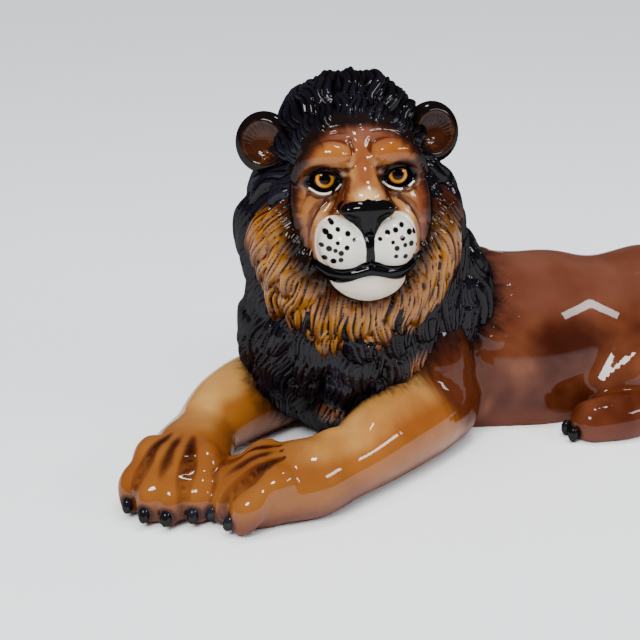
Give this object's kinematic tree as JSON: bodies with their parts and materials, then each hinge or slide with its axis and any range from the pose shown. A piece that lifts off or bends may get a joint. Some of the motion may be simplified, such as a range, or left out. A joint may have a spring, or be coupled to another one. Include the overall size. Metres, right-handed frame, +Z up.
{
  "type": "lion figure",
  "caption": "Reclining lion sculpture in glazed ceramic, forelegs stretched out in front and head turned to look over its side, standing flat on its underside as an ornament.",
  "frame": {"origin": "centre of the bounding box's underside, on the surface the lion stands on", "axes": "+Z up; the body lies along X with the forelegs towards -X and the rump towards +X; the face looks towards -Y"},
  "size_m": [0.7574, 0.3699, 0.4026],
  "materials": {
    "glaze": "hand-painted in ochre, orange, white and black-brown under a clear glossy glaze"
  },
  "bodies": {
    "root": {"lion": "glaze"}
  },
  "joints": []
}
